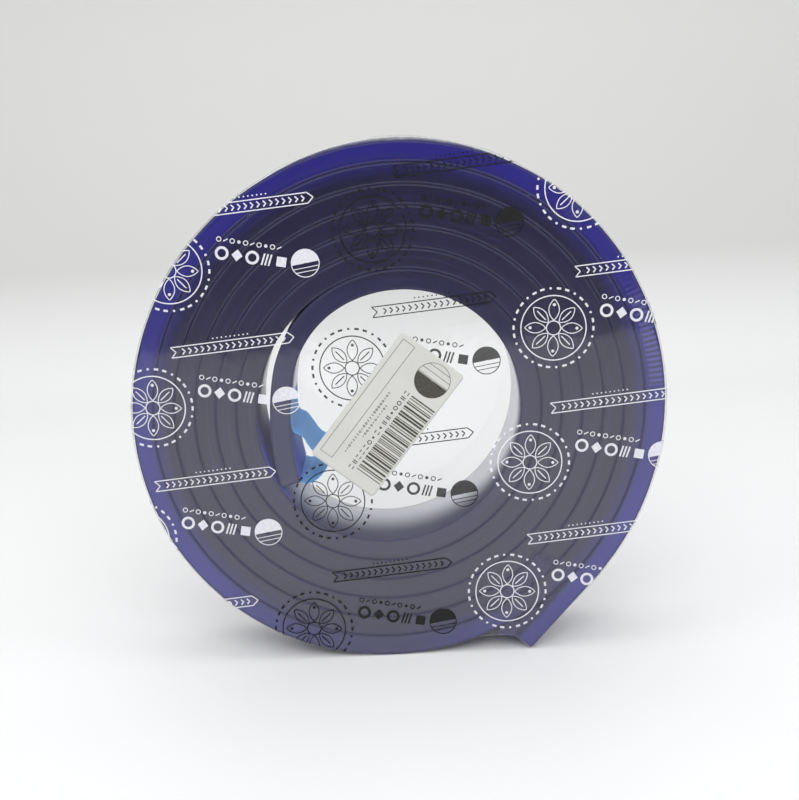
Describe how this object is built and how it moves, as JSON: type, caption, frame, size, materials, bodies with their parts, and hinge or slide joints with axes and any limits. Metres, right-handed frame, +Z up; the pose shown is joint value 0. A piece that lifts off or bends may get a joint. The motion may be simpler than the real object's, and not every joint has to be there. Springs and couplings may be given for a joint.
{
  "type": "squeegee blade",
  "caption": "Coil of blue polyurethane squeegee strip, square edged, standing on its rim in clear film, with a label on the front and tape on the inner end.",
  "frame": {"origin": "on the floor, at the middle of the wrapped coil's length and of the strip's width", "axes": "+Z up; Y along the coil's axis, with the front, where the label is, towards -Y; X along the floor, with the strip's loose outer end towards +X"},
  "size_m": [0.2354, 0.051, 0.2318],
  "materials": {
    "strip": "smooth, translucent cast polyurethane",
    "film": "clear, glossy, printed film",
    "label": "matt paper label",
    "tape": "blue adhesive tape"
  },
  "bodies": {
    "root": {"blade_strip": "strip", "wrap_film": "film", "label": "label", "end_tape": "tape"}
  },
  "joints": []
}
